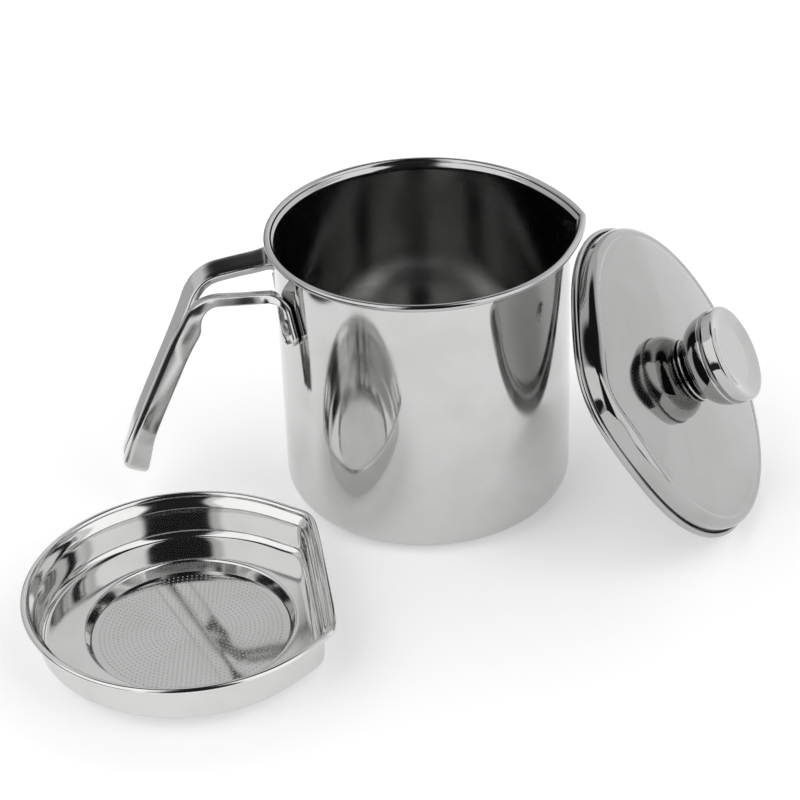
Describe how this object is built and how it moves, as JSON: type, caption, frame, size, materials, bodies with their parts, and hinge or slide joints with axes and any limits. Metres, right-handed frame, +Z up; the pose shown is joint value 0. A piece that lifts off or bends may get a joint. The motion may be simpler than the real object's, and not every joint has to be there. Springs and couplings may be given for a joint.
{
  "type": "bacon grease container",
  "caption": "Polished stainless grease-keeping pot with a pouring lip and a riveted handle, its perforated strainer and its domed lid with a round knob set down beside it.",
  "frame": {"origin": "centre of the pot's flat foot, on the surface the pot stands on", "axes": "+Z up, +X towards the pot's pouring lip, handle along -X"},
  "size_m": [0.3419, 0.244, 0.1315],
  "materials": {
    "polished_steel": "polished",
    "satin_steel": "satin",
    "plain_steel": "plain"
  },
  "bodies": {
    "pot": {"pot_shell": "satin_steel", "handle_half_near": "polished_steel", "handle_half_far": "polished_steel", "rivet_near": "plain_steel", "rivet_far": "plain_steel"},
    "strainer": {"strainer_pan": "polished_steel", "sieve_disc": "plain_steel"},
    "lid": {"lid_shell": "polished_steel", "knob_ring": "polished_steel", "knob_bowl": "polished_steel", "knob_cap": "polished_steel", "knob_nut": "plain_steel", "screw_washer": "plain_steel", "lid_screw": "plain_steel"}
  },
  "joints": [
    {"name": "strainer_lift", "type": "slide", "parent": "pot", "child": "strainer", "axis": [0, 0, 1], "range_m": [0, 0.15]},
    {"name": "lid_lift", "type": "slide", "parent": "pot", "child": "lid", "axis": [0, 0, 1], "range_m": [0, 0.15]}
  ]
}
